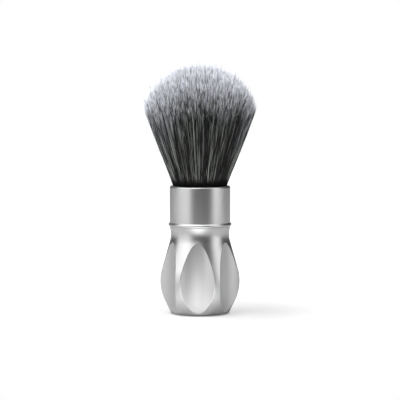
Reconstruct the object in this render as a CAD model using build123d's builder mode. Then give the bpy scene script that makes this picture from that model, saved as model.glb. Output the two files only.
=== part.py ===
"""Shaving brush: a fluted metal handle with a screw-off collar that holds a synthetic knot.

Millimetres, +Z up. The origin is on the axis, on the surface that the brush stands on.
The pieces are made from the base upwards.
"""

import os
from math import asin, atan2, cos, hypot, pi, radians, sin, sqrt, tan

from build123d import *

# ---- Overall heights ----------------------------------------------------------------------
foot_proud = 0.3  # the foot pad holds the metal this far off the table
body_height = 40.2  # table to the parting plane under the collar
collar_length = 18.5
knot_loft = 55.8  # collar lip to the top of the knot

# ---- Knot ---------------------------------------------------------------------------------
knot_diameter = 24.0  # at the collar's mouth
bloom_diameter = 51.6  # widest part of the fanned fibres
dome_height = 19.9  # widest part to the top of the knot
shoulder_radius = 10.0  # bend between the side of the fan and its dome
resin_height = 7.0
resin_corner = 0.4
twine_diameter = 0.6
twine_turns = 5
twine_gap = 0.05  # between two turns, and behind them in their groove
twine_drop = 1.5  # top of the winding, below the resin's top face
adhesive_bed = 0.6  # under the root
adhesive_film = 0.15  # round the root

# ---- Collar -------------------------------------------------------------------------------
collar_wall = 1.72
socket_depth = 11.0
lip_outer_radius = 0.8
lip_inner_radius = 0.35
bead_height = 1.6
bead_proud = 0.55
bead_root_radius = 0.2

# ---- Screw joint --------------------------------------------------------------------------
thread_diameter = 12.0
thread_pitch = 1.75
thread_depth = 0.95
stud_in_collar = 5.6
stud_in_body = 8.6
stud_end_gap = 0.4
stud_chamfer = 0.8
key_size = 6.0  # hexagon socket, across flats
key_depth = 4.5
joint_seal_radius = 9.0  # to the middle of the section
groove_share = 0.44  # half a thread groove's mouth, as a share of the pitch

# ---- Handle body --------------------------------------------------------------------------
heel_radius = 13.3
heel_bend = 1.2
belly_corner_radius = 19.54  # where the lines of the shoulder and the heel meet
belly_corner_height = 13.2
belly_bend_run = 7.6  # stretch of each line that the bend takes up
neck_inset = 1.0  # the neck's corner, inside the collar's outside
neck_drop = 3.7  # the neck's corner, below the parting plane
neck_bend_run = 3.55
rim_chamfer = 0.25
flute_count = 6
flute_radius = 13.0
flute_floor_inset = 0.95  # flute floor, outside the neck's corner
flute_edge_radius = 0.3

# ---- Ballast and base ---------------------------------------------------------------------
ballast_diameter = 15.0
ballast_web = 6.2  # metal left between the ballast's bore and the stud's hole
ballast_chamfer = 0.8
plug_thread_diameter = 17.0
plug_thread_pitch = 1.5
plug_thread_depth = 0.8
plug_thread_length = 5.0
flange_diameter = 22.0
flange_thickness = 1.9
flange_inset = 0.2  # flange face, above the body's base face
pad_diameter = 18.6
pad_recess = 0.9
pad_round = 0.3
wrench_hole_diameter = 2.0
wrench_hole_depth = 2.5
wrench_hole_spacing = 10.0

# ---- Seals and fits -----------------------------------------------------------------------
seal_width = 1.5  # squeezed section
seal_height = 1.3
seal_corner = 0.5
seal_gap = 0.06  # between a seal and the walls of its seat
running_gap = 0.06  # radial, between a screw and its hole
bond_gap = 0.1  # round the ballast, the flange and the pad

# ---- Sizes worked out from them -----------------------------------------------------------
knot_radius = knot_diameter / 2
socket_radius = knot_radius + adhesive_film
collar_radius = socket_radius + collar_wall
collar_top = body_height + collar_length
socket_floor = collar_top - socket_depth
resin_bottom = socket_floor + adhesive_bed
resin_top = resin_bottom + resin_height
twine_pitch = twine_diameter + twine_gap
twine_top = resin_top - twine_drop
twine_groove_height = twine_turns * twine_pitch + twine_gap
twine_groove_radius = knot_radius - twine_diameter - 2 * twine_gap

tapped_radius = thread_diameter / 2
stud_radius = tapped_radius - running_gap
stud_top = body_height + stud_in_collar
stud_bottom = body_height - stud_in_body
stud_hole_bottom = stud_bottom - stud_end_gap
seal_seat_width = seal_width + 2 * seal_gap
seal_seat_depth = seal_height + 2 * seal_gap

neck_corner_radius = collar_radius - neck_inset
neck_corner_height = body_height - neck_drop
flute_floor_radius = neck_corner_radius + flute_floor_inset

flange_bottom = foot_proud + flange_inset
flange_top = flange_bottom + flange_thickness
flange_radius = flange_diameter / 2
plug_tapped_radius = plug_thread_diameter / 2
plug_radius = plug_tapped_radius - running_gap
plug_neck_radius = plug_radius - plug_thread_depth
plug_thread_bottom = flange_top + seal_seat_depth
plug_top = plug_thread_bottom + plug_thread_length
pad_top = flange_bottom + pad_recess
ballast_radius = ballast_diameter / 2
ballast_bottom = plug_top + bond_gap
ballast_top = stud_hole_bottom - ballast_web - bond_gap
ballast_length = ballast_top - ballast_bottom

os.makedirs("parts", exist_ok=True)


def write(piece, name):
    """Labels a finished piece and writes it as a STEP file of its own."""
    piece.part.label = name
    export_step(piece.part, f"parts/{name}.step")


def bend_radius(before, corner, after, run):
    """The radius of a bend that takes up the same run of both lines at a corner."""
    turn = (Vector(corner) - Vector(before)).get_angle(Vector(after) - Vector(corner))
    return run / tan(radians(turn) / 2)


def thread_grooves(radius, depth, pitch, bottom, top):
    """Cuts V grooves one pitch apart into the round rod that is being built."""
    count = int((top - bottom) / pitch)
    start = (bottom + top - (count - 1) * pitch) / 2
    with BuildSketch(Plane.XZ) as grooves:
        with Locations(*[(radius, start + turn * pitch) for turn in range(count)]):
            Polygon((-depth, 0), (0, -groove_share * pitch), (0, groove_share * pitch), align=None)
    revolve(grooves.sketch, axis=Axis.Z, mode=Mode.SUBTRACT)


def make_seal(radius, bottom):
    """A rubber ring about the axis, drawn squeezed as it is in its seat."""
    with BuildPart() as ring:
        with BuildSketch(Plane.XZ):
            with Locations((radius, bottom + seal_gap + seal_height / 2)):
                RectangleRounded(seal_width, seal_height, seal_corner)
        revolve(axis=Axis.Z)
    return ring


# ---- Foot pad: a rubber disc let into the base plug ----------------------------------------
with BuildPart() as foot_pad:
    Cylinder(pad_diameter / 2, pad_top, align=(Align.CENTER, Align.CENTER, Align.MIN))
    fillet(foot_pad.edges().filter_by(GeomType.CIRCLE), pad_round)
write(foot_pad, "foot_pad")

# ---- Base plug: flange, neck for the seal, thread, pad recess and wrench holes --------------
with BuildPart() as base_plug:
    with BuildSketch(Plane.XY.offset(flange_bottom)):
        Circle(flange_radius)
    extrude(amount=flange_thickness)
    chamfer(base_plug.edges().filter_by(GeomType.CIRCLE), bond_gap)
    with BuildSketch(Plane.XY.offset(flange_top)):
        Circle(plug_neck_radius)
    extrude(amount=seal_seat_depth)
    with BuildSketch(Plane.XY.offset(plug_thread_bottom)):
        Circle(plug_radius)
    extrude(amount=plug_thread_length)
    chamfer(base_plug.edges().filter_by(GeomType.CIRCLE).sort_by(Axis.Z)[-1], plug_thread_depth)
    thread_grooves(
        plug_radius, plug_thread_depth, plug_thread_pitch, plug_thread_bottom, plug_top
    )
    with BuildSketch(Plane.XY.offset(flange_bottom)):
        Circle(pad_diameter / 2 + bond_gap)
    extrude(amount=pad_recess, mode=Mode.SUBTRACT)
    with BuildSketch(Plane.XY.offset(pad_top)):
        with GridLocations(wrench_hole_spacing, 0, 2, 1):
            Circle(wrench_hole_diameter / 2)
    extrude(amount=wrench_hole_depth, mode=Mode.SUBTRACT)
write(base_plug, "base_plug")

# ---- Base seal, between the plug's flange and the body --------------------------------------
base_seal_radius = plug_tapped_radius + seal_width / 2
base_seal = make_seal(base_seal_radius, flange_top)
write(base_seal, "base_seal")

# ---- Ballast: a steel slug dropped in from below ---------------------------------------------
with BuildPart() as ballast_weight:
    with BuildSketch(Plane.XY.offset(ballast_bottom)):
        Circle(ballast_radius)
    extrude(amount=ballast_length)
    chamfer(ballast_weight.edges().filter_by(GeomType.CIRCLE), ballast_chamfer)
write(ballast_weight, "ballast_weight")

# ---- Handle body: fluted bulb and waist, bored from both ends --------------------------------
with BuildPart() as handle_body:
    with BuildSketch(Plane.XZ):
        with BuildLine():
            heel = (heel_radius, foot_proud)
            belly = (belly_corner_radius, belly_corner_height)
            neck = (neck_corner_radius, neck_corner_height)
            rim = (collar_radius, body_height)
            belly_bend = bend_radius(heel, belly, neck, belly_bend_run)
            neck_bend = bend_radius(belly, neck, rim, neck_bend_run)
            FilletPolyline(heel, belly, neck, rim, radius=(belly_bend, neck_bend))
            Polyline(rim, (0, body_height), (0, foot_proud), heel)
        make_face()
    revolve(axis=Axis.Z)
    rings = handle_body.edges().filter_by(GeomType.CIRCLE).sort_by(Axis.Z)
    fillet(rings[0], heel_bend)
    chamfer(rings[-1], rim_chamfer)

    # the flutes are upright round scallops, all the way from the base to the neck
    with BuildSketch(Plane.XY):
        with PolarLocations(flute_floor_radius + flute_radius, flute_count, start_angle=-90):
            Circle(flute_radius)
    extrude(amount=neck_corner_height, mode=Mode.SUBTRACT)
    scallops = handle_body.faces().filter_by(GeomType.CYLINDER)
    fillet(scallops.edges(), flute_edge_radius)

    # steps of the bore, from the base upwards: flange seat, seal seat, thread, ballast
    for bore_radius, bore_top in (
        (flange_radius + bond_gap, flange_top),
        (base_seal_radius + seal_seat_width / 2, plug_thread_bottom),
        (plug_tapped_radius, plug_top),
        (ballast_radius + bond_gap, ballast_top + bond_gap),
    ):
        with BuildSketch(Plane.XY.offset(foot_proud)):
            Circle(bore_radius)
        extrude(amount=bore_top - foot_proud, mode=Mode.SUBTRACT)

    # the stud's hole, from the parting plane downwards
    with BuildSketch(Plane.XY.offset(body_height)):
        Circle(tapped_radius)
    extrude(amount=stud_hole_bottom - body_height, mode=Mode.SUBTRACT)
    hole_rim = handle_body.faces().sort_by(Axis.Z)[-1].inner_wires()[0].edges()
    chamfer(hole_rim, stud_chamfer)
write(handle_body, "handle_body")

# ---- Joint seal, in the underside of the collar ----------------------------------------------
joint_seal = make_seal(joint_seal_radius, body_height)
write(joint_seal, "joint_seal")

# ---- Thread stud: a steel screw with no head, bonded into the collar --------------------------
with BuildPart() as thread_stud:
    with BuildSketch(Plane.XY.offset(stud_bottom)):
        Circle(stud_radius)
    extrude(amount=stud_top - stud_bottom)
    chamfer(thread_stud.edges().filter_by(GeomType.CIRCLE), stud_chamfer)
    thread_grooves(
        stud_radius,
        thread_depth,
        thread_pitch,
        stud_bottom + stud_chamfer,
        stud_top - stud_chamfer,
    )
    with BuildSketch(Plane.XY.offset(stud_bottom)):
        RegularPolygon(key_size / 2, 6, major_radius=False)
    extrude(amount=key_depth, mode=Mode.SUBTRACT)
write(thread_stud, "thread_stud")

# ---- Collar: turned ring with a bead at its foot and a rounded lip ---------------------------
with BuildPart() as collar:
    with BuildSketch(Plane.XZ):
        with BuildLine():
            foot = (collar_radius, body_height)
            bead_crest = (collar_radius + bead_proud, body_height + bead_height / 2)
            bead_top = (collar_radius, body_height + bead_height)
            ThreePointArc(foot, bead_crest, bead_top)
            Polyline(bead_top, (collar_radius, collar_top), (socket_radius, collar_top))
            Polyline((socket_radius, collar_top), (socket_radius, socket_floor))
            Polyline((socket_radius, socket_floor), (0, socket_floor), (0, body_height), foot)
        make_face()
    revolve(axis=Axis.Z)
    lip = collar.edges().filter_by(GeomType.CIRCLE).group_by(Axis.Z)[-1].sort_by(SortBy.RADIUS)
    fillet(lip[-1], lip_outer_radius)
    fillet(lip[0], lip_inner_radius)
    bead_root = (
        collar.edges()
        .filter_by(GeomType.CIRCLE)
        .filter_by(lambda edge: abs(edge.center().Z - bead_top[1]) < 0.01)
    )
    fillet(bead_root, bead_root_radius)
    with BuildSketch(Plane.XY.offset(body_height)):
        Circle(tapped_radius)
    extrude(amount=stud_in_collar + stud_end_gap, mode=Mode.SUBTRACT)
    with BuildSketch(Plane.XY.offset(body_height)):
        Circle(joint_seal_radius + seal_seat_width / 2)
        Circle(joint_seal_radius - seal_seat_width / 2, mode=Mode.SUBTRACT)
    extrude(amount=seal_seat_depth, mode=Mode.SUBTRACT)
write(collar, "collar")

# ---- Setting adhesive: bed and film between the root and its socket ---------------------------
with BuildPart() as setting_adhesive:
    with BuildSketch(Plane.XY.offset(socket_floor)):
        Circle(socket_radius)
    extrude(amount=adhesive_bed + resin_height)
    with BuildSketch(Plane.XY.offset(resin_bottom)):
        Circle(knot_radius)
    extrude(amount=resin_height, mode=Mode.SUBTRACT)
write(setting_adhesive, "setting_adhesive")

# ---- Knot root: the fibres' ends cast in resin, with a groove for the winding ------------------
with BuildPart() as knot_root:
    with BuildSketch(Plane.XY.offset(resin_bottom)):
        Circle(knot_radius)
    extrude(amount=resin_height)
    chamfer(knot_root.edges().filter_by(GeomType.CIRCLE).sort_by(Axis.Z)[0], resin_corner)
    with BuildSketch(Plane.XY.offset(twine_top)):
        Circle(knot_radius)
        Circle(twine_groove_radius, mode=Mode.SUBTRACT)
    extrude(amount=-twine_groove_height, mode=Mode.SUBTRACT)
write(knot_root, "knot_root")

# ---- Binding twine: turns of thread round the root ---------------------------------------------
with BuildPart() as binding_twine:
    turn_radius = knot_radius - twine_gap - twine_diameter / 2
    first_turn = twine_top - twine_gap - twine_diameter / 2
    with BuildSketch(Plane.XZ):
        with Locations(*[(turn_radius, first_turn - n * twine_pitch) for n in range(twine_turns)]):
            Circle(twine_diameter / 2)
    revolve(axis=Axis.Z)
write(binding_twine, "binding_twine")

# ---- Knot fibres: the closed outer shape of the fan and its dome -------------------------------
knot_top = collar_top + knot_loft
bloom_radius = bloom_diameter / 2
bloom_height = knot_top - dome_height

# the shoulder arc is centred inside the widest point, and the dome's arc on the axis
shoulder_centre = (bloom_radius - shoulder_radius, bloom_height)
reach = shoulder_centre[0]
dome_radius = (reach**2 + dome_height**2 - shoulder_radius**2) / (
    2 * (dome_height - shoulder_radius)
)

# the side of the fan runs straight from the collar's mouth, tangent to the shoulder arc
across = reach - knot_radius
rise = bloom_height - collar_top
span = hypot(across, rise)
side_angle = atan2(rise, across) - asin(shoulder_radius / span)
side_length = sqrt(span**2 - shoulder_radius**2)
side_end = (
    knot_radius + side_length * cos(side_angle),
    collar_top + side_length * sin(side_angle),
)
dome_angle = atan2(dome_radius - dome_height, reach)
dome_start = (
    reach + shoulder_radius * cos(dome_angle),
    bloom_height + shoulder_radius * sin(dome_angle),
)
dome_middle_angle = (dome_angle + pi / 2) / 2
dome_middle = (
    dome_radius * cos(dome_middle_angle),
    knot_top - dome_radius + dome_radius * sin(dome_middle_angle),
)

with BuildPart() as knot_fibres:
    with BuildSketch(Plane.XZ):
        with BuildLine():
            mouth = (knot_radius, collar_top)
            Polyline((0, resin_top), (knot_radius, resin_top), mouth, side_end)
            ThreePointArc(side_end, (bloom_radius, bloom_height), dome_start)
            ThreePointArc(dome_start, dome_middle, (0, knot_top))
            Line((0, knot_top), (0, resin_top))
        make_face()
    revolve(axis=Axis.Z)
write(knot_fibres, "knot_fibres")
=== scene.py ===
# %% [markdown]
# # A shaving brush: satin metal below, soft fibres above
#
# The mechanical model comes first, and it already holds every size: the fluted handle, the collar
# that screws off it, the resin root and its seals. This notebook dresses that model. It gives each
# piece the finish that the real one has, and it builds the one thing that a solid can't show, which
# is the knot: tens of thousands of fine fibres fanning out of the collar.

# %% Load the mechanical model
import math

import bpy
import numpy as np
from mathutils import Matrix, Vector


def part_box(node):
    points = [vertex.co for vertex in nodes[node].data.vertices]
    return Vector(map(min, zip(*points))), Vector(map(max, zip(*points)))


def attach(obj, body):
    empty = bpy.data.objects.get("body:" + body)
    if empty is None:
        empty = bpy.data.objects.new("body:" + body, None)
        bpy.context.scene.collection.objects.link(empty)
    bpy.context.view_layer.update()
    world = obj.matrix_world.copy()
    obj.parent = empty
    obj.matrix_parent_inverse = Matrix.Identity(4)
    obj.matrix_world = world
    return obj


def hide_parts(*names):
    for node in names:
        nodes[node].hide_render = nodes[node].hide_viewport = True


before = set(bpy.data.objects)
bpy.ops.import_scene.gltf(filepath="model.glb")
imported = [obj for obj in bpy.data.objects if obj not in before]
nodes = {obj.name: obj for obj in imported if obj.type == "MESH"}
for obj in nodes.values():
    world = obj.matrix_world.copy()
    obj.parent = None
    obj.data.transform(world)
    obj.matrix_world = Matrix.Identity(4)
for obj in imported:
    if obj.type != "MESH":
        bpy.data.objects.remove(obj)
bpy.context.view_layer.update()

print("pieces from the mechanical model:", sorted(nodes))

# %% [markdown]
# ## Small helpers for shader nodes
#
# A material is a graph. Written out node by node it gets long, so three helpers keep the rest
# readable: one adds a node, one feeds a socket with either a number or another node's output, and
# one does arithmetic on such values.

# %% Helpers for nodes


def add(tree, kind, **settings):
    """Adds a node of one kind and sets its own settings, such as its operation."""
    made = tree.nodes.new(kind)
    for name, value in settings.items():
        setattr(made, name, value)
    return made


def feed(tree, socket, value):
    """Links the socket to another node's output, or sets it to a plain value."""
    if isinstance(value, bpy.types.NodeSocket):
        tree.links.new(value, socket)
    else:
        socket.default_value = value


def calc(tree, operation, *values):
    """Result of one math operation on numbers or outputs."""
    made = add(tree, "ShaderNodeMath", operation=operation)
    for socket, value in zip(made.inputs, values):
        feed(tree, socket, value)
    return made.outputs[0]


def ease(tree, value, start, end, low=0.0, high=1.0):
    """A smooth step: low before start, high after end, and an S-shaped rise in between."""
    made = add(tree, "ShaderNodeMapRange", interpolation_type="SMOOTHSTEP")
    for name, number in (
        ("Value", value), ("From Min", start), ("From Max", end), ("To Min", low), ("To Max", high)
    ):
        feed(tree, made.inputs[name], number)
    return made.outputs["Result"]


def blend_colours(tree, share, first, second):
    """The first colour where share is 0, the second where it is 1."""
    made = add(tree, "ShaderNodeMix", data_type="RGBA")
    feed(tree, made.inputs[0], share)
    feed(tree, made.inputs[6], first)
    feed(tree, made.inputs[7], second)
    return made.outputs[2]


print("node helpers are ready")

# %% [markdown]
# ## The camera
#
# A long lens from just under a metre away keeps the handle's sides nearly parallel. The camera
# stands level with the tips of the knot and looks slightly down, and a few degrees to the right of
# the flute that faces the front.

# %% Camera
view_turn = math.radians(4.0)
view_distance = 0.9
view_height = 0.115
aim_height = 0.0521
frame_width = 0.1828  # what the picture spans at the brush

camera_data = bpy.data.cameras.new("camera")
camera = bpy.data.objects.new("camera", camera_data)
bpy.context.scene.collection.objects.link(camera)
camera.location = (
    view_distance * math.sin(view_turn), -view_distance * math.cos(view_turn), view_height
)
camera.rotation_euler = (
    math.pi / 2 - math.atan2(view_height - aim_height, view_distance), 0, view_turn
)
camera_data.lens = camera_data.sensor_width * view_distance / frame_width
camera_data.clip_start = 0.01
camera_data.clip_end = 50
bpy.context.scene.camera = camera
print("lens", round(camera_data.lens, 1), "mm")

# %% [markdown]
# ## The studio
#
# Satin metal shows the room more than itself, so the light is really a picture that the metal
# mirrors. The room here is a dome of light: a bright ceiling, a tall soft box on each side, and
# darkness behind the camera, which gives the collar its dark middle band. The left box carries on
# higher up, and that part is the brightest. The brush stands on a white light table that ends a
# little way in front of it, so the flutes mirror the table and the collar, higher up, looks out
# over its edge. The camera itself sees plain white beyond the table.
#
# The table glows for the camera, which makes it paper white but leaves the shadow on it. That
# glow is weaker near the brush and halved right at the foot, which is painted shade and a painted
# shadow. For the metal it only glows in a pool in front of the brush, a painted pool of light, and
# painted shade keeps it dark where the foot stands.
# Three soft lamps add what the dome lacks: one from high on the left lights the tips and casts the
# shadow on the right, and two low ones light the knot's flanks. They are kept out of the
# reflections, because the boxes are there.

# %% Dome of light
ceiling = (2.8, 35, 78)  # strength, and the elevations between which it comes up
boxes = {  # strength, then azimuths and elevations in degrees, as seen from the brush
    "left": (1.02, (-97, -35), (-30, 40)),
    "front top": (2.0, (-62, 4), (50, 70)),
    "upper left": (1.15, (-104, -2), (22, 46)),
    "right": (1.3, (50, 86), (-30, 44)),
    "behind": (0.2, (-200, -150), (-30, 50)),
}
soft_edge = 13.0  # degrees by which a box fades on each side of its edge
room_level = 0.06


def make_dome(scene):
    """Builds the world: the sum of a dim room, the ceiling and the soft boxes, by direction."""
    world = bpy.data.worlds.new("studio_dome")
    scene.world = world
    world.use_nodes = True
    tree = world.node_tree
    tree.nodes.clear()
    direction = add(tree, "ShaderNodeTexCoord").outputs["Generated"]
    parts = add(tree, "ShaderNodeSeparateXYZ")
    feed(tree, parts.inputs[0], direction)
    toward = calc(tree, "MULTIPLY", parts.outputs["Y"], -1.0)
    azimuth = calc(tree, "DEGREES", calc(tree, "ARCTAN2", parts.outputs["X"], toward))
    azimuth = calc(tree, "SUBTRACT", azimuth, math.degrees(view_turn))
    elevation = calc(tree, "DEGREES", calc(tree, "ARCSINE", parts.outputs["Z"]))
    strength, start, full = ceiling
    light = calc(tree, "ADD", room_level, ease(tree, elevation, start, full, 0.0, strength))
    for level, (left, right), (low, high) in boxes.values():
        inside = 1.0
        for value, near, far in ((azimuth, left, right), (elevation, low, high)):
            rise = ease(tree, value, near - soft_edge, near + soft_edge)
            fall = ease(tree, value, far + soft_edge, far - soft_edge)
            inside = calc(tree, "MULTIPLY", inside, calc(tree, "MULTIPLY", rise, fall))
        light = calc(tree, "MULTIPLY_ADD", inside, level, light)
    studio = add(tree, "ShaderNodeBackground")
    feed(tree, studio.inputs["Strength"], light)
    paper = add(tree, "ShaderNodeBackground")
    seen = add(tree, "ShaderNodeMixShader")
    feed(tree, seen.inputs[0], add(tree, "ShaderNodeLightPath").outputs["Is Camera Ray"])
    feed(tree, seen.inputs[1], studio.outputs[0])
    feed(tree, seen.inputs[2], paper.outputs[0])
    paper.inputs["Color"].default_value = (1, 1, 1, 1)
    feed(tree, add(tree, "ShaderNodeOutputWorld").inputs[0], seen.outputs[0])


make_dome(bpy.context.scene)
bpy.context.scene.view_settings.view_transform = "Standard"
print("soft boxes:", list(boxes))

# %% Table
table_front, table_back = -0.22, 1.6
table_left, table_right = -1.2, 1.2
table_white = ((0.32, 0.32, 0.32, 1), (0.34, 0.34, 0.34, 1))
mottle_scale, table_roughness, table_mirror = 30, 0.6, 0.1
# each pair below is a value near the brush and one further out, after the distances from the axis
# between which the first turns into the second
# painted shade: the camera glow is weaker near the brush than further out
glow_change, table_glow = (0.030, 0.110), (0.52, 0.80)  # as the camera sees it
# painted shadow: the camera glow is halved right at the foot
foot_shadow_change, foot_shadow_share = (0.0128, 0.0144), (0.5, 1.0)  # the same, right at the foot
# painted shade: the pool of painted light stays dark round the foot
foot_shade_change, foot_shade_share = (0.0135, 0.027), (0.0, 1.0)  # the pool, round the foot
pool_centre, pool_radius, pool_glow = (-0.004, -0.08, 0), 0.105, 1.2
pool_narrowing = (1.7, 1, 1)  # the pool is an ellipse, so this much narrower from side to side


def make_table():
    """A white table top: one flat face whose upper side is the plane z = 0."""
    corners = [
        (table_left, table_front, 0), (table_right, table_front, 0),
        (table_right, table_back, 0), (table_left, table_back, 0),
    ]
    mesh = bpy.data.meshes.new("table")
    mesh.from_pydata(corners, [], [(0, 1, 2, 3)])
    table = bpy.data.objects.new("table", mesh)
    bpy.context.scene.collection.objects.link(table)
    material = bpy.data.materials.new("white_table")
    material.use_nodes = True
    tree = material.node_tree
    shader = tree.nodes["Principled BSDF"]
    mottle = add(tree, "ShaderNodeTexNoise")
    feed(tree, mottle.inputs["Vector"], add(tree, "ShaderNodeTexCoord").outputs["Object"])
    mottle.inputs["Scale"].default_value = mottle_scale
    feed(tree, shader.inputs["Base Color"], blend_colours(tree, mottle.outputs[0], *table_white))
    shader.inputs["Roughness"].default_value = table_roughness
    shader.inputs["Specular IOR Level"].default_value = table_mirror
    away = add(tree, "ShaderNodeVectorMath", operation="DISTANCE")
    narrowed = add(tree, "ShaderNodeVectorMath", operation="MULTIPLY")
    feed(tree, narrowed.inputs[0], add(tree, "ShaderNodeTexCoord").outputs["Object"])
    narrowed.inputs[1].default_value = pool_narrowing
    feed(tree, away.inputs[0], narrowed.outputs[0])
    away.inputs[1].default_value = pool_centre
    pool = ease(tree, away.outputs["Value"], pool_radius, 0.0, 0.0, pool_glow)
    seen = add(tree, "ShaderNodeLightPath").outputs["Is Camera Ray"]
    far = add(tree, "ShaderNodeVectorMath", operation="LENGTH")
    feed(tree, far.inputs[0], add(tree, "ShaderNodeTexCoord").outputs["Object"])
    # painted shade: the camera glow is weaker near the brush
    paper = ease(tree, far.outputs["Value"], *glow_change, *table_glow)
    # painted shade: no pool glow round the foot
    painted_foot_shade = ease(tree, far.outputs["Value"], *foot_shade_change, *foot_shade_share)
    pool = calc(tree, "MULTIPLY", pool, painted_foot_shade)
    # painted shadow: the glow that the camera sees is halved at the foot
    painted_foot_shadow = ease(tree, far.outputs["Value"], *foot_shadow_change, *foot_shadow_share)
    paper = calc(tree, "MULTIPLY", paper, painted_foot_shadow)
    feed(tree, shader.inputs["Emission Color"], blend_colours(tree, seen, pool, paper))
    shader.inputs["Emission Strength"].default_value = 1.0
    mesh.materials.append(material)
    return table


make_table()
print("table reaches", table_front, "m in front")

# %% Lamps
lamps = {  # power, width, and the azimuth and elevation in degrees at which it stands
    "main_lamp": (4.6, 0.5, -66, 72),
    "left_lamp": (2.2, 0.3, -104, 3),
    "right_lamp": (2.6, 0.3, 96, 2),
}
lamp_distance = 0.8


def soft_lamp(name, power, width, azimuth, elevation):
    """A round lamp aimed at the origin, and left out of what the metal mirrors."""
    data = bpy.data.lights.new(name, "AREA")
    data.shape = "DISK"
    data.size = width
    data.energy = power
    lamp = bpy.data.objects.new(name, data)
    bpy.context.scene.collection.objects.link(lamp)
    turn, rise = math.radians(azimuth), math.radians(elevation)
    lamp.location = (
        lamp_distance * math.cos(rise) * math.sin(turn),
        -lamp_distance * math.cos(rise) * math.cos(turn),
        lamp_distance * math.sin(rise),
    )
    lamp.rotation_euler = (math.pi / 2 - rise, 0, turn)
    lamp.visible_glossy = False
    print(name, "stands at", [round(v, 2) for v in lamp.location])


for lamp_name, lamp_settings in lamps.items():
    soft_lamp(lamp_name, *lamp_settings)

# %% [markdown]
# ## Effects that several finishes share
#
# Blasting, machining and use leave the same kinds of trace on every part, only in different
# amounts. Each trace is a node group, built once: a fine grain, the turning marks that a lathe
# leaves, worn edges, and the faint smudges of handling. A group gives out masks and heights, and
# each material decides what to do with them.

# %% Shared node groups


def new_group(name, inputs, outputs):
    """An empty group with named float inputs, their values, and named float outputs."""
    group = bpy.data.node_groups.new(name, "ShaderNodeTree")
    for label, value in inputs.items():
        socket = group.interface.new_socket(label, in_out="INPUT", socket_type="NodeSocketFloat")
        socket.default_value = value
    for label in outputs:
        group.interface.new_socket(label, in_out="OUTPUT", socket_type="NodeSocketFloat")
    return group, add(group, "NodeGroupInput"), add(group, "NodeGroupOutput")


def noise_at(tree, scale, detail=2.0, vector=None):
    """Noise between 0 and 1 on the object's own coordinates."""
    made = add(tree, "ShaderNodeTexNoise")
    if vector is None:
        vector = add(tree, "ShaderNodeTexCoord").outputs["Object"]
    feed(tree, made.inputs["Vector"], vector)
    feed(tree, made.inputs["Scale"], scale)
    feed(tree, made.inputs["Detail"], detail)
    return made.outputs[0]


def make_grain():
    """Grain: two sizes of noise added, as a height around 0.5 and as a roughness."""
    coarser, fine_share, coarse_share = 0.22, 0.65, 0.35
    group, given, out = new_group(
        "fine_grain", {"Scale": 4000.0, "Roughness": 0.3, "Spread": 0.05}, ["Height", "Roughness"]
    )
    fine = noise_at(group, given.outputs["Scale"], 3.0)
    coarse = noise_at(group, calc(group, "MULTIPLY", given.outputs["Scale"], coarser), 2.0)
    height = calc(group, "ADD", calc(group, "MULTIPLY", fine, fine_share),
                  calc(group, "MULTIPLY", coarse, coarse_share))
    swing = calc(group, "MULTIPLY", calc(group, "SUBTRACT", height, 0.5), given.outputs["Spread"])
    feed(group, out.inputs["Height"], height)
    feed(group, out.inputs["Roughness"], calc(group, "MULTIPLY_ADD", swing, 2.0,
                                              given.outputs["Roughness"]))
    return group


def make_turning_marks():
    """Turning marks: noise that changes only along the axis and outwards, so it draws rings."""
    group, given, out = new_group("turning_marks", {"Scale": 5000.0}, ["Height"])
    place = add(group, "ShaderNodeSeparateXYZ")
    feed(group, place.inputs[0], add(group, "ShaderNodeTexCoord").outputs["Object"])
    x_squared = calc(group, "MULTIPLY", place.outputs["X"], place.outputs["X"])
    y_squared = calc(group, "MULTIPLY", place.outputs["Y"], place.outputs["Y"])
    across = calc(group, "SQRT", calc(group, "ADD", x_squared, y_squared))
    ring = add(group, "ShaderNodeCombineXYZ")
    feed(group, ring.inputs["X"], across)
    feed(group, ring.inputs["Y"], place.outputs["Z"])
    feed(group, out.inputs["Height"], noise_at(group, given.outputs["Scale"], 1.0,
                                               ring.outputs[0]))
    return group


def make_edge_wear():
    """Edge wear: high where the rounded normal leaves the true one, broken up by noise."""
    flat, sharp = 0.999, 0.93  # cosines of the angle between the two normals
    break_scale, break_from, break_to, left_over = 900.0, 0.35, 0.6, 0.35
    group, given, out = new_group("edge_wear", {"Width": 0.0004, "Amount": 1.0}, ["Mask"])
    rounded = add(group, "ShaderNodeBevel", samples=4)
    feed(group, rounded.inputs["Radius"], given.outputs["Width"])
    turn = add(group, "ShaderNodeVectorMath", operation="DOT_PRODUCT")
    feed(group, turn.inputs[0], rounded.outputs[0])
    feed(group, turn.inputs[1], add(group, "ShaderNodeNewGeometry").outputs["Normal"])
    edge = ease(group, turn.outputs["Value"], flat, sharp)
    cloud = noise_at(group, break_scale, 3.0)
    broken = ease(group, cloud, break_from, break_to, left_over, 1.0)
    feed(group, out.inputs["Mask"], calc(group, "MULTIPLY", calc(group, "MULTIPLY", edge, broken),
                                         given.outputs["Amount"]))
    return group


def make_smudges():
    """Smudges: large soft noise with only its upper part kept."""
    clean_below, full_above = 0.48, 0.72
    group, given, out = new_group("handling_smudges", {"Scale": 70.0, "Amount": 1.0}, ["Mask"])
    cloud = noise_at(group, given.outputs["Scale"], 4.0)
    feed(group, out.inputs["Mask"], calc(group, "MULTIPLY", ease(group, cloud, clean_below, full_above),
                                         given.outputs["Amount"]))
    return group


grain, turning, edge_wear, smudges = (
    make_grain(), make_turning_marks(), make_edge_wear(), make_smudges()
)


def use(tree, group, **values):
    """Places a group in a material with its own values and returns its outputs."""
    made = add(tree, "ShaderNodeGroup", node_tree=group)
    for name, value in values.items():
        feed(tree, made.inputs[name], value)
    return made.outputs


print("shared effects:", [g.name for g in (grain, turning, edge_wear, smudges)])

# %% [markdown]
# ## Finishes
#
# The handle and collar are aluminium, blasted with fine beads and clear anodised. That gives an
# even satin: bright, but with no sharp image in it. The steel stud keeps its rolled thread, the
# rubber is matt and black, and the root is cast resin.

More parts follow.
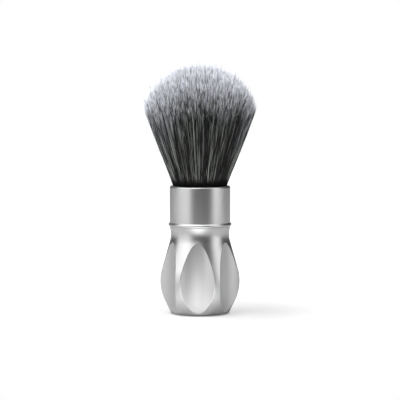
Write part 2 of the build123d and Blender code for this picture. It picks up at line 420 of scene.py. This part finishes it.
# %% Finishes for the solid parts
blasted_grey, handled_grey = (0.80, 0.808, 0.80, 1), (0.765, 0.773, 0.765, 1)
worn_grey = (0.9, 0.9, 0.9, 1)
rubber_black, dusty_grey = (0.018, 0.018, 0.019, 1), (0.10, 0.10, 0.10, 1)
amber_deep, amber_light = (0.58, 0.42, 0.2, 1), (0.72, 0.58, 0.34, 1)
cut_end = (0.04, 0.04, 0.04, 1)
glue_deep, glue_light = (0.72, 0.68, 0.56, 1), (0.84, 0.81, 0.72, 1)
glue_pit_shade = (0.5, 0.47, 0.4, 1)
twine_groove_shade, twine_light = (0.55, 0.51, 0.42, 1), (0.86, 0.83, 0.75, 1)
stainless, plated = (0.62, 0.62, 0.63), (0.50, 0.51, 0.53)
crest_gain = 1.35  # how much brighter the steel's rubbed crests are


def new_material(name, metallic=0.0, roughness=0.5):
    """A material with one Principled shader, and that shader's constant values set on it."""
    material = bpy.data.materials.new(name)
    material.use_nodes = True
    tree = material.node_tree
    shader = tree.nodes["Principled BSDF"]
    shader.inputs["Metallic"].default_value = metallic
    shader.inputs["Roughness"].default_value = roughness
    return material, tree, shader


def emboss(tree, shader, height, distance, strength=1.0):
    """Bumps the shader's surface by a height between 0 and 1 times a distance in metres."""
    bump = add(tree, "ShaderNodeBump")
    feed(tree, bump.inputs["Height"], height)
    bump.inputs["Distance"].default_value = distance
    bump.inputs["Strength"].default_value = strength
    feed(tree, shader.inputs["Normal"], bump.outputs[0])


def satin_metal():
    """Blasted aluminium: grain over faint turning marks, brighter at its edges."""
    material, tree, shader = new_material("satin_metal", metallic=1.0)
    blasted = use(tree, grain, Scale=5200.0, Roughness=0.30, Spread=0.05)
    marks = use(tree, turning, Scale=2600.0)["Height"]
    worn = use(tree, edge_wear, Width=0.00035, Amount=0.35)["Mask"]
    touched = use(tree, smudges, Scale=85.0, Amount=0.5)["Mask"]
    smudge_dulls, wear_polishes, marks_share = 0.035, -0.05, 0.4
    colour = blend_colours(tree, touched, blasted_grey, handled_grey)
    feed(tree, shader.inputs["Base Color"], blend_colours(tree, worn, colour, worn_grey))
    rough = calc(tree, "MULTIPLY_ADD", touched, smudge_dulls, blasted["Roughness"])
    rough = calc(tree, "MULTIPLY_ADD", worn, wear_polishes, rough)
    feed(tree, shader.inputs["Roughness"], rough)
    height = calc(tree, "MULTIPLY_ADD", marks, marks_share, blasted["Height"])
    emboss(tree, shader, height, distance=0.000004)
    return material


def bright_steel(name, base, roughness):
    """Turned steel: ring marks that show, and bright crests."""
    material, tree, shader = new_material(name, metallic=1.0)
    worn = use(tree, edge_wear, Width=0.0003, Amount=1.0)["Mask"]
    marks = use(tree, turning, Scale=4200.0)["Height"]
    grit = use(tree, grain, Scale=3000.0, Roughness=roughness, Spread=0.08)
    marks_share = 1.5
    light = tuple(min(1.0, c * crest_gain) for c in base)
    feed(tree, shader.inputs["Base Color"], blend_colours(tree, worn, (*base, 1), (*light, 1)))
    feed(tree, shader.inputs["Roughness"], grit["Roughness"])
    height = calc(tree, "MULTIPLY_ADD", marks, marks_share, grit["Height"])
    emboss(tree, shader, height, distance=0.000008)
    return material


def rubber(name, dust):
    """Moulded rubber: a matt black grain that is greyer on its edges."""
    material, tree, shader = new_material(name)
    worn = use(tree, edge_wear, Width=0.0006, Amount=dust)["Mask"]
    grit = use(tree, grain, Scale=2500.0, Roughness=0.62, Spread=0.12)
    feed(tree, shader.inputs["Base Color"], blend_colours(tree, worn, rubber_black, dusty_grey))
    feed(tree, shader.inputs["Roughness"], grit["Roughness"])
    emboss(tree, shader, grit["Height"], distance=0.00002)
    return material


def cast_resin():
    """Amber resin with the dark cut ends of the fibres in it, as a field of small round cells."""
    material, tree, shader = new_material("cast_resin", roughness=0.2)
    cells = add(tree, "ShaderNodeTexVoronoi")
    feed(tree, cells.inputs["Vector"], add(tree, "ShaderNodeTexCoord").outputs["Object"])
    cells.inputs["Scale"].default_value = 4500
    outside_end, inside_end, cloud_scale = 0.42, 0.3, 260.0
    ends = ease(tree, cells.outputs["Distance"], outside_end, inside_end)
    cloud = noise_at(tree, cloud_scale, 3.0)
    amber = blend_colours(tree, cloud, amber_deep, amber_light)
    feed(tree, shader.inputs["Base Color"], blend_colours(tree, ends, amber, cut_end))
    emboss(tree, shader, cloud, distance=0.00003)
    return material


def adhesive():
    """Set glue: cloudy and pale, with small bubbles."""
    material, tree, shader = new_material("set_adhesive", roughness=0.25)
    bubbles = add(tree, "ShaderNodeTexVoronoi")
    feed(tree, bubbles.inputs["Vector"], add(tree, "ShaderNodeTexCoord").outputs["Object"])
    bubbles.inputs["Scale"].default_value = 900
    outside_hole, inside_hole, cloud_scale = 0.3, 0.15, 300.0
    hole = ease(tree, bubbles.outputs["Distance"], outside_hole, inside_hole)
    cloud = noise_at(tree, cloud_scale, 3.0)
    pale = blend_colours(tree, cloud, glue_deep, glue_light)
    # painted shade: the bubbles, which the bump sinks as pits, are darker
    feed(tree, shader.inputs["Base Color"], blend_colours(tree, hole, pale, glue_pit_shade))
    emboss(tree, shader, calc(tree, "SUBTRACT", cloud, hole), distance=0.00004)
    return material


def waxed_twine():
    """Twisted thread: the plies are bands that climb as they go round the knot's axis."""
    material, tree, shader = new_material("waxed_twine", roughness=0.45)
    place = add(tree, "ShaderNodeSeparateXYZ")
    feed(tree, place.inputs[0], add(tree, "ShaderNodeTexCoord").outputs["Object"])
    angle = calc(tree, "ARCTAN2", place.outputs["Y"], place.outputs["X"])
    bands_up, bands_around, fuzz_scale, fuzz_share = 9000.0, 120.0, 6000.0, 0.2
    climb = calc(tree, "MULTIPLY", place.outputs["Z"], bands_up)
    twist = calc(tree, "MULTIPLY_ADD", angle, bands_around, climb)
    ply = calc(tree, "MULTIPLY_ADD", calc(tree, "SINE", twist), 0.5, 0.5)
    # painted shade: the thread is darker in the grooves between its plies, where the bump is low
    feed(tree, shader.inputs["Base Color"], blend_colours(tree, ply, twine_groove_shade, twine_light))
    fuzz = noise_at(tree, fuzz_scale, 2.0)
    height = calc(tree, "MULTIPLY_ADD", fuzz, fuzz_share, ply)
    emboss(tree, shader, height, distance=0.00008)
    return material


metal = satin_metal()
rubber_pad = rubber("pad_rubber", dust=0.6)
rubber_ring = rubber("seal_rubber", dust=0.3)
finishes = {
    "handle_body": metal, "collar": metal, "base_plug": metal,
    "foot_pad": rubber_pad, "base_seal": rubber_ring, "joint_seal": rubber_ring,
    "thread_stud": bright_steel("stainless_steel", stainless, roughness=0.22),
    "ballast_weight": bright_steel("plated_steel", plated, roughness=0.30),
    "knot_root": cast_resin(), "setting_adhesive": adhesive(), "binding_twine": waxed_twine(),
}
for name, finish in finishes.items():
    for slot in nodes[name].material_slots:
        slot.material = finish
print("finished", len(finishes), "solid parts")

# %% [markdown]
# ## The knot
#
# On the bench a knot is a bundle of synthetic fibres, tied, dipped in resin and glued into the
# collar. The fibres leave the collar straight and lean further out the nearer they stand to the
# rim, so together they make a fan with a domed top. They cling together in small tufts, and the
# outermost ones end at uneven heights, so the pale zone meets the dark one in streaks. Each fibre
# tapers to a fine soft point, and it is dyed dark with a pale tip.
#
# Every fibre here is a real closed mesh, a three-sided spike with a few rings, because at this
# number of copies each must stay cheap. All of them are worked out at once as arrays: the rings of
# every fibre are one block of numbers, with one row per fibre.

# %% Sizes of the knot
mouth_radius = 0.01185
root_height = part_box("knot_root")[1].z
mouth_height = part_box("collar")[1].z
knot_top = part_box("knot_fibres")[1].z
bloom_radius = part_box("knot_fibres")[1].x
shoulder_bend = 0.010
dome_height = 0.0199
fan_slope = 0.402  # sideways run of an outermost fibre for each unit of height
fall_slope = 3.0  # how steeply the outline falls past its widest point
search_margin, halvings = 0.002, 24  # for finding where a fibre meets the outline

widest_height = knot_top - dome_height
reach = bloom_radius - shoulder_bend
dome_bend = (reach**2 + dome_height**2 - shoulder_bend**2) / (2 * (dome_height - shoulder_bend))
print("dome radius", round(dome_bend * 1000, 1), "mm")

# %% Where the tips end


def dome_surface(radius):
    """Height of the knot's outline over a point at some distance from the axis.
    Inside, it is a sphere centred on the axis. Outside, it is the arc of the shoulder, and past
    the widest point it falls away steeply."""
    seam = reach * dome_bend / (dome_bend - shoulder_bend)
    crown = knot_top - dome_bend + np.sqrt(np.clip(dome_bend**2 - radius**2, 0, None))
    past = np.clip(shoulder_bend**2 - (radius - reach) ** 2, 0, None)
    shoulder = widest_height + np.sqrt(past)
    shoulder -= fall_slope * np.clip(radius - bloom_radius, 0, None)
    return np.where(radius < seam, crown, shoulder)


def tip_heights(start, slope):
    """Height at which straight fibres meet the outline: halving the gap a fixed number of times."""
    low = np.full(len(start), mouth_height)
    high = np.full(len(start), knot_top + search_margin)
    for _ in range(halvings):
        middle = (low + high) / 2
        place = start + slope * (middle - mouth_height)[:, None]
        inside = dome_surface(np.linalg.norm(place, axis=1)) > middle
        low = np.where(inside, middle, low)
        high = np.where(inside, high, middle)
    return low


straight_up = np.zeros((1, 2))
print("a middle fibre ends at", round(tip_heights(straight_up, straight_up)[0] * 1000, 1), "mm")

# %% Build the fibres
fibre_count = 33000
piece_count = 5
knot_seed = 24
tuft_size = 3  # fibres that cling together
fibre_radius = 0.000068
ring_stops = np.array([0.0, 0.08, 0.40, 0.75, 0.955])  # shares of a fibre's length
ring_width = np.array([1.0, 1.0, 1.0, 0.9, 0.62])  # shares of its radius
corner_turns = 40.0  # spreads a fibre's tone over many starting angles for its corners

# how the fibres stray: deviations of normal draws, and means of exponential ones
start_spread, bow_spread = 0.00009, 0.0002
tuft_lean_spread, own_lean_spread = 0.012, 0.0065
wild_share, wild_gain = 0.07, 2.6  # how many fibres lean further, and by how much
tuck_in = 0.02  # share by which an outermost fibre leans less than the steepest
tip_rise, tip_over, tip_short, tuft_short = 0.0010, 0.0004, 0.0012, 0.0007
outer_short, outer_power = 0.0034, 8  # the same for the outermost tufts only

# how far down a tip is pale
pale_least, tuft_pale, tuft_pale_power, own_pale = 0.0004, 0.016, 4, 0.0012
rim_depth, rim_gain = 0.6, 0.40  # share of the radius that counts as rim
# painted light: the rim's pale tips reach further down on the two sides, most on the left, and least at
# the front
side_light_gain, left_light_gain = 4.2, 1.0
inner_gain, inner_limit = 3.4, 0.004


def pale_lengths(rng, start, member, tufts):
    """How far down each fibre's tip is pale: a tuft's own length, which is mostly short, plus a
    little of the fibre's. It grows from the rim inwards by a smooth step. At the rim it is longer
    on the knot's two sides, where the sine of the direction is near -1 or 1, and most on the left,
    and shortest at the front, which paints the light that falls on the sides, most from the left, and
    the shade at the front.
    """
    own = pale_least + tuft_pale * rng.uniform(0, 1, tufts)[member] ** tuft_pale_power
    own += own_pale * rng.uniform(0, 1, len(start))
    far = np.linalg.norm(start, axis=1)
    inwards = np.clip((1 - far / mouth_radius) / rim_depth, 0, 1)
    inwards = inwards * inwards * (3 - 2 * inwards)
    sine = start[:, 0] / np.maximum(far, 1e-6)
    # painted side light and front shade
    side = 1 + side_light_gain * sine**2 - left_light_gain * sine
    at_rim = rim_gain * side * own * (1 - inwards)
    return at_rim + inner_gain * np.minimum(own, inner_limit) * inwards


def fibre_lines(rng, count):
    """Centre lines of the fibres, as (count, rings + 1, 3) points, with each fibre's length and
    its traits: two random tones, and how far its pale tip reaches down.
    Tufts start evenly spread in the mouth's disc, and their sideways run grows with the distance
    from the axis. The fibres of a tuft start close together and lean almost alike, so the tufts
    draw apart as they fan out. No fibre leans further than the fan's own slope. Each ends at the
    outline, give or take a random length that is largest at the rim. A bow, four times the share
    of the rise times that share less one, loosens them without moving their ends."""
    tufts = count // tuft_size + 1
    spread = np.sqrt(rng.uniform(0, 1, tufts))
    turn = rng.uniform(0, 2 * np.pi, tufts)
    share = np.stack([np.cos(turn), np.sin(turn)], axis=1) * spread[:, None]
    tuft_lean = rng.normal(0, tuft_lean_spread, (tufts, 2))
    tuft_tone = rng.uniform(0, 1, tufts)
    member = rng.integers(0, tufts, count)

    start = share[member] * mouth_radius + rng.normal(0, start_spread, (count, 2))
    far = np.linalg.norm(start, axis=1, keepdims=True)
    start *= np.minimum(1, mouth_radius / far)
    wild = rng.choice([1.0, wild_gain], (count, 1), p=[1 - wild_share, wild_share])
    own_lean = rng.normal(0, own_lean_spread, (count, 2)) * wild
    slope = start / mouth_radius * fan_slope + tuft_lean[member] + own_lean
    steepness = np.linalg.norm(slope, axis=1, keepdims=True)
    steepest = fan_slope * (1 - rng.exponential(tuck_in, (count, 1)))
    slope *= np.minimum(1, steepest / steepness)
    ends = tip_heights(start, slope)
    ends += tip_rise + rng.exponential(tip_over, count) - rng.exponential(tip_short, count)
    ends -= rng.exponential(tuft_short, tufts)[member]
    outer = np.minimum(1, np.linalg.norm(start, axis=1) / mouth_radius) ** outer_power
    ends -= outer * rng.exponential(outer_short, tufts)[member]

    stops = np.append(ring_stops, 1.0)
    height = root_height + (ends - root_height)[:, None] * stops
    above = np.clip(height - mouth_height, 0, None)
    bow = rng.normal(0, bow_spread, (count, 2))
    rise = above / above[:, -1:]
    flat = (
        start[:, None, :]
        + slope[:, None, :] * above[:, :, None]
        + bow[:, None, :] * (rise * (rise - 1))[:, :, None] * 4
    )
    lines = np.concatenate([flat, height[:, :, None]], axis=2)
    traits = {"tuft_tone": tuft_tone[member], "tone": rng.uniform(0, 1, count)}
    traits["pale_length"] = pale_lengths(rng, start, member, tufts)
    return lines, ends - root_height, traits


def fibre_mesh(name, lines, lengths, traits):
    """Turns centre lines into closed spikes: a triangle round each ring and one point at the tip.
    Corner k of a ring stands at a third of a turn times k, and the turn's start is the fibre's
    own. With every point go its distances from the tip and from the root, and its fibre's traits."""
    count, rings = len(lines), len(ring_stops)
    phase = traits["tone"] * corner_turns
    corner = phase[:, None] + np.arange(3) * (2 * np.pi / 3)
    around = np.stack([np.cos(corner), np.sin(corner), np.zeros_like(corner)], axis=2)
    width = fibre_radius * ring_width
    body = lines[:, :rings, None, :] + around[:, None, :, :] * width[None, :, None, None]
    points = np.concatenate([body.reshape(count, rings * 3, 3), lines[:, -1:, :]], axis=1)
    per_fibre = rings * 3 + 1

    ring = np.arange(rings - 1)[:, None] * 3
    k, after = np.arange(3), (np.arange(3) + 1) % 3
    quads = np.stack([ring + k, ring + after, ring + after + 3, ring + k + 3], axis=2)
    last = (rings - 1) * 3
    tips = np.stack([last + k, last + after, np.full(3, per_fibre - 1)], axis=1)
    root = np.array([[2, 1, 0]])
    corners = np.concatenate([quads.ravel(), tips.ravel(), root.ravel()])
    sizes = np.array([4] * (quads.size // 4) + [3] * 4)
    step = np.arange(count)[:, None] * per_fibre
    corners = (corners[None, :] + step).ravel()
    sizes = np.tile(sizes, count)

    mesh = bpy.data.meshes.new(name)
    mesh.vertices.add(count * per_fibre)
    mesh.vertices.foreach_set("co", points.astype(np.float32).ravel())
    mesh.loops.add(len(corners))
    mesh.loops.foreach_set("vertex_index", corners.astype(np.int32))
    mesh.polygons.add(len(sizes))
    mesh.polygons.foreach_set("loop_start", (np.cumsum(sizes) - sizes).astype(np.int32))
    mesh.update(calc_edges=True)

    shares = np.append(np.repeat(ring_stops, 3), 1.0)
    values = {
        "from_tip": (1 - shares)[None, :] * lengths[:, None],
        "from_root": shares[None, :] * lengths[:, None],
        **{label: np.repeat(value, per_fibre) for label, value in traits.items()},
    }
    for label, value in values.items():
        attribute = mesh.attributes.new(label, "FLOAT", "POINT")
        attribute.data.foreach_set("value", value.astype(np.float32).ravel())
    return mesh


def make_fibres(material):
    """Makes the knot in a few pieces, each under the limit on faces, with a fixed seed."""
    rng = np.random.default_rng(knot_seed)
    made = []
    for number in range(piece_count):
        count = fibre_count // piece_count
        lines, lengths, traits = fibre_lines(rng, count)
        mesh = fibre_mesh(f"fibres_{number}", lines, lengths, traits)
        mesh.materials.append(material)
        piece = bpy.data.objects.new(f"fibres_{number}", mesh)
        bpy.context.scene.collection.objects.link(piece)
        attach(piece, "head")
        made.append(piece)
    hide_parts("knot_fibres")
    return made


charcoal_range = ((0.004, 0.005, 0.0045, 1), (0.022, 0.025, 0.022, 1))
tip_range = ((0.52, 0.54, 0.63, 1), (0.94, 0.945, 0.98, 1))
# partly painted sheen: a light strand is a paler tone and also the sheen of fibres facing the light
tone_and_sheen_strand, painted_root_shade = (0.76, 0.80, 0.74, 1), (0.003, 0.003, 0.003, 1)
tuft_weight, tone_weight, glint_weight = 0.45, 0.55, 0.10
# painted glints: a slow wave along each fibre makes its light streaks come and go
glint_rate, glint_shift = 260.0, 90.0  # radians for each metre of fibre, and over all tones
tone_and_sheen_change = (0.64, 0.80)
# painted shade: the fibres are painted black near the root, where shade falls between them
root_shade_change = (0.0046, 0.0085)  # distances from the root over which the fibres come apart
odd_spread = 37.0  # turns one random number into a second one
fade_share, gloss_range = 0.2, (0.28, 0.45)


def fibre_finish():
    """Dyed fibre. A strand is light where its tuft's and its own random numbers add up to enough,
    partly a paler tone and partly a painted sheen, with painted glints that rise and fade slowly
    along its length, so light streaks come and go. Near the root, where the fibres are packed, all
    are painted black as the shade between them, and dull. The tip turns pale at its own distance."""
    material, tree, shader = new_material("dyed_fibre")

    def value_of(label):
        return add(tree, "ShaderNodeAttribute", attribute_name=label).outputs["Fac"]

    tuft, tone, from_tip = value_of("tuft_tone"), value_of("tone"), value_of("from_tip")
    from_root = value_of("from_root")
    mixed = calc(tree, "ADD", calc(tree, "MULTIPLY", tuft, tuft_weight),
                 calc(tree, "MULTIPLY", tone, tone_weight))
    angle = calc(tree, "ADD", calc(tree, "MULTIPLY", from_root, glint_rate),
                 calc(tree, "MULTIPLY", tone, glint_shift))
    # painted glints along the fibre
    glint_wave = calc(tree, "SINE", angle)
    mixed = calc(tree, "ADD", mixed, calc(tree, "MULTIPLY", glint_wave, glint_weight))
    tone_and_sheen_share = ease(tree, mixed, *tone_and_sheen_change)
    charcoal = blend_colours(tree, tone, *charcoal_range)
    shaft = blend_colours(tree, tone_and_sheen_share, charcoal, tone_and_sheen_strand)
    # painted shade near the root
    clear_of_root_shade = ease(tree, from_root, *root_shade_change)
    shaft = blend_colours(tree, clear_of_root_shade, painted_root_shade, shaft)
    odd = calc(tree, "FRACT", calc(tree, "MULTIPLY", tone, odd_spread))
    fade_start = value_of("pale_length")
    fade_end = calc(tree, "MULTIPLY", fade_start, fade_share)
    pale = ease(tree, from_tip, fade_start, fade_end)
    tip = blend_colours(tree, odd, *tip_range)
    feed(tree, shader.inputs["Base Color"], blend_colours(tree, pale, shaft, tip))
    gloss = ease(tree, odd, 0.0, 1.0, *gloss_range)
    packed = calc(tree, "SUBTRACT", 1.0, clear_of_root_shade)
    feed(tree, shader.inputs["Roughness"], calc(tree, "MAXIMUM", gloss, packed))
    return material


knot = make_fibres(fibre_finish())
triangles = sum(p.loop_total - 2 for p in knot[0].data.polygons)
print(len(knot), "pieces of fibres,", triangles, "triangles in each")
